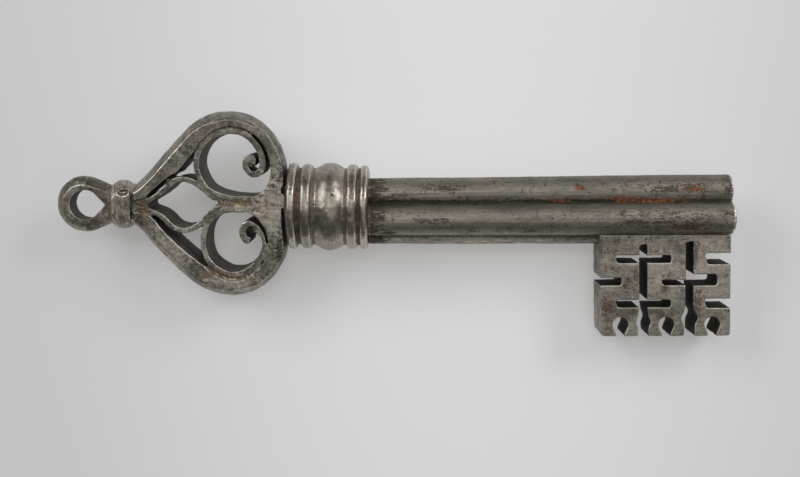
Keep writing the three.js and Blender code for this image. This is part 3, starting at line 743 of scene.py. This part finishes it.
pipe_iron = iron(
    "pipe_iron", ALONG, drawn_out=SHORT_ALONG, tone=0.90, contrast=0.45, rough=(0.48, 0.62),
    hollows=0.95, hollow_colours=(OLIVE, GRIME_AND_SHADE), hollow_start=-0.04, cave_shade=0,
    patches=[(pipe_shaded, 2.0, 0.2, COOL_DARK, DARK_IRON, 0.4, 0.1),
             (pipe_underside_light, 2.0, 0.3, PALE_IRON, LIGHT_IRON, 0.85, 0.0),
             (pipe_grime_and_shade, 1.6, 0.7, GRIME_AND_SHADE, BROWN, 0.85, 0.9),
             (pipe_valley, 1.2, 0.5, OLIVE, GRIME_AND_SHADE, 0.85, 0.9),
             (pipe_seam_shadow, 1.2, 0.6, GRIME_AND_SHADE, BROWN, 0.75, 0.9),
             (pipe_specks, 0.6, 0.9, GRIME_AND_SHADE, DARK_RUST, 0.7, 0.9),
             (pipe_brown, 0.7, 0.9, GRIME_AND_SHADE, DARK_RUST, 0.75, 0.9),
             (pipe_rust, 1.1, 0.45, RUST, DARK_RUST, 0.9, 0.9)])
bit_iron = iron(
    "bit_iron", ALONG, tone=1.08, contrast=0.8, rough=(0.42, 0.60), brown=0.7, pits=0.9, wear_and_highlight=0.4,
    hollows=0.3, cave_shade=0.97, cave_band=(1.0, 0.78),
    patches=[(bit_lighter, 4.0, 0.5, PALE_IRON, LIGHT_IRON, 0.6, 0.0),
             (bit_darker, 1.2, 0.8, DARK_IRON, BROWN, 0.45, 0.3),
             (bit_brown, 0.9, 1.0, DARK_RUST, BROWN, 0.75, 0.7),
             (bit_side_shade, 2.0, 0.3, GRIME_AND_SHADE, DIRT_AND_SHADE, 0.35, 0.5)])

BOW_NODES = ("bow_bar_upper", "bow_bar_lower", "ogee_strip_upper", "ogee_strip_lower", "scroll_upper",
             "scroll_lower", "tang", "braze_apex", "braze_stem", "braze_tang", "braze_scroll")
bow_solids = [prism(outline, -STRIP_FACE, STRIP_FACE) for outline in (
    STEM_ROOT, ROLLED_END, APEX, STEM, UPPER_CURL, UPPER_RIM, LOWER_BEND)]
bow_solids.append(prism(LOWER_HEART, -STRIP_FACE, HEART_FACE))
bow_slits = [prism(outline, -THROUGH, THROUGH) for outline in (APEX_SLIT, LOWER_SLIT, LOWER_END)]
plaques = [prism(PLAQUE, PLAQUE_ROOT, PLAQUE_FACE), prism(PLAQUE, -PLAQUE_FACE, -PLAQUE_ROOT)]

surface("eye_surface", ["suspension_eye"], eye_iron, voxel=0.14, rounds=2, seed=1)
surface("knop_surface", ["knop"], knop_iron, voxel=0.1, rounds=1, seed=2,
        uneven=((3.0, 0.03), (1.2, 0.01)), fit=cut_scallop, added=plaques)
surface("bow_surface", BOW_NODES, bow_iron, voxel=0.15, rounds=2, seed=3,
        fit=file_base, added=bow_solids, slits=bow_slits)
surface("collar_surface", ["collar"], collar_iron, voxel=0.18, rounds=6, seed=10,
        uneven=((6.0, 0.07), (2.2, 0.035), (0.9, 0.012)), fit=round_bead)
surface("pipe_surface", ["pipe"], pipe_iron, voxel=0.22, rounds=4, seed=11,
        uneven=((9.0, 0.05), (2.0, 0.02)), fit=close_gap)
surface("bit_surface", ["bit"], bit_iron, voxel=0.16, rounds=2, seed=12)

# Floor: a pale sheet under the collar, square to the camera, with a painted pool of light brightest a
# little right of the middle, and a glow that lightens the shadows on it
FLOOR_DEPTH = 10.2 * MM
FLOOR_HALF = 1.6
FLOOR_CORNERS = ((-1, -1), (1, -1), (1, 1), (-1, 1))
BRIGHTEST = 17 * MM
FADE_REACH = 130 * MM
FADE_WEIGHTS = (1, 0.2, 0)
PAPER_BRIGHT = (0.70, 0.705, 0.735, 1)
PAPER_DIM = (0.56, 0.565, 0.59, 1)
PAPER_GLOW = (1.0, 0.985, 0.95, 1)
GLOW_BRIGHT = 0.275
GLOW_DIM = 0.215

floor_mesh = bpy.data.meshes.new("floor")
floor_points = [(FLOOR_HALF * x, FLOOR_HALF * y, 0) for x, y in FLOOR_CORNERS]
floor_mesh.from_pydata(floor_points, [], [(0, 1, 2, 3)])
floor = in_scene("floor", floor_mesh)
floor.matrix_world = frame_matrix(AXIS - toward * FLOOR_DEPTH, right, up, toward)
paper, g = new_material("paper")
# Painted pool of light: the sheet's colour and glow fade away from the brightest place
fade = g.step(g.distance_to(g.place(), (BRIGHTEST, 0, 0), FADE_WEIGHTS), 0, FADE_REACH)
paper_shader = g.put("ShaderNodeBsdfPrincipled", Base_Color=g.mix(fade, PAPER_BRIGHT, PAPER_DIM),
                     Roughness=0.9, Emission_Color=PAPER_GLOW,
                     Emission_Strength=g.between(fade, GLOW_BRIGHT, GLOW_DIM))
g.put("ShaderNodeOutputMaterial", Surface=paper_shader.outputs[0])
floor_mesh.materials.append(paper)


def area_light(name, direction, distance, size, radiance):
    """A soft lamp: direction is its way from the key to the right, up and towards the camera."""
    lamp = bpy.data.lights.new(name, "AREA")
    lamp.shape = "RECTANGLE"
    lamp.size, lamp.size_y = size
    lamp.energy = radiance * math.pi * size[0] * size[1]
    holder = in_scene(name, lamp)
    way = (right * direction[0] + up * direction[1] + toward * direction[2]).normalized()
    across = up.cross(way).normalized()
    holder.matrix_world = frame_matrix(AXIS + way * distance, across, way.cross(across), way)


# Light: a large soft source round the camera, a small bright one in it, and a lamp from each side
area_light("light_wide", direction=(0.25, -0.05, 1.0), distance=0.72, size=(0.8, 1.1), radiance=0.364)
area_light("light_over", direction=(0, 0.20, 1.0), distance=0.7, size=(0.3, 0.22), radiance=2.4)
area_light("light_left", direction=(-0.65, 0.42, 0.62), distance=0.75, size=(0.25, 0.5), radiance=4.3)
area_light("light_right", direction=(0.65, 0.50, 0.57), distance=0.75, size=(0.25, 0.35), radiance=5.3)

BACKDROP = (1.0, 0.97, 0.92, 1)
BACKDROP_STRENGTH = 0.065

world = bpy.data.worlds.new("world")
world.use_nodes = True
bpy.context.scene.world = world
g = Graph(world.node_tree)
backdrop = g.put("ShaderNodeBackground", Color=BACKDROP, Strength=BACKDROP_STRENGTH)
g.put("ShaderNodeOutputWorld", Surface=backdrop.outputs[0])
bpy.context.scene.view_settings.view_transform = "Standard"
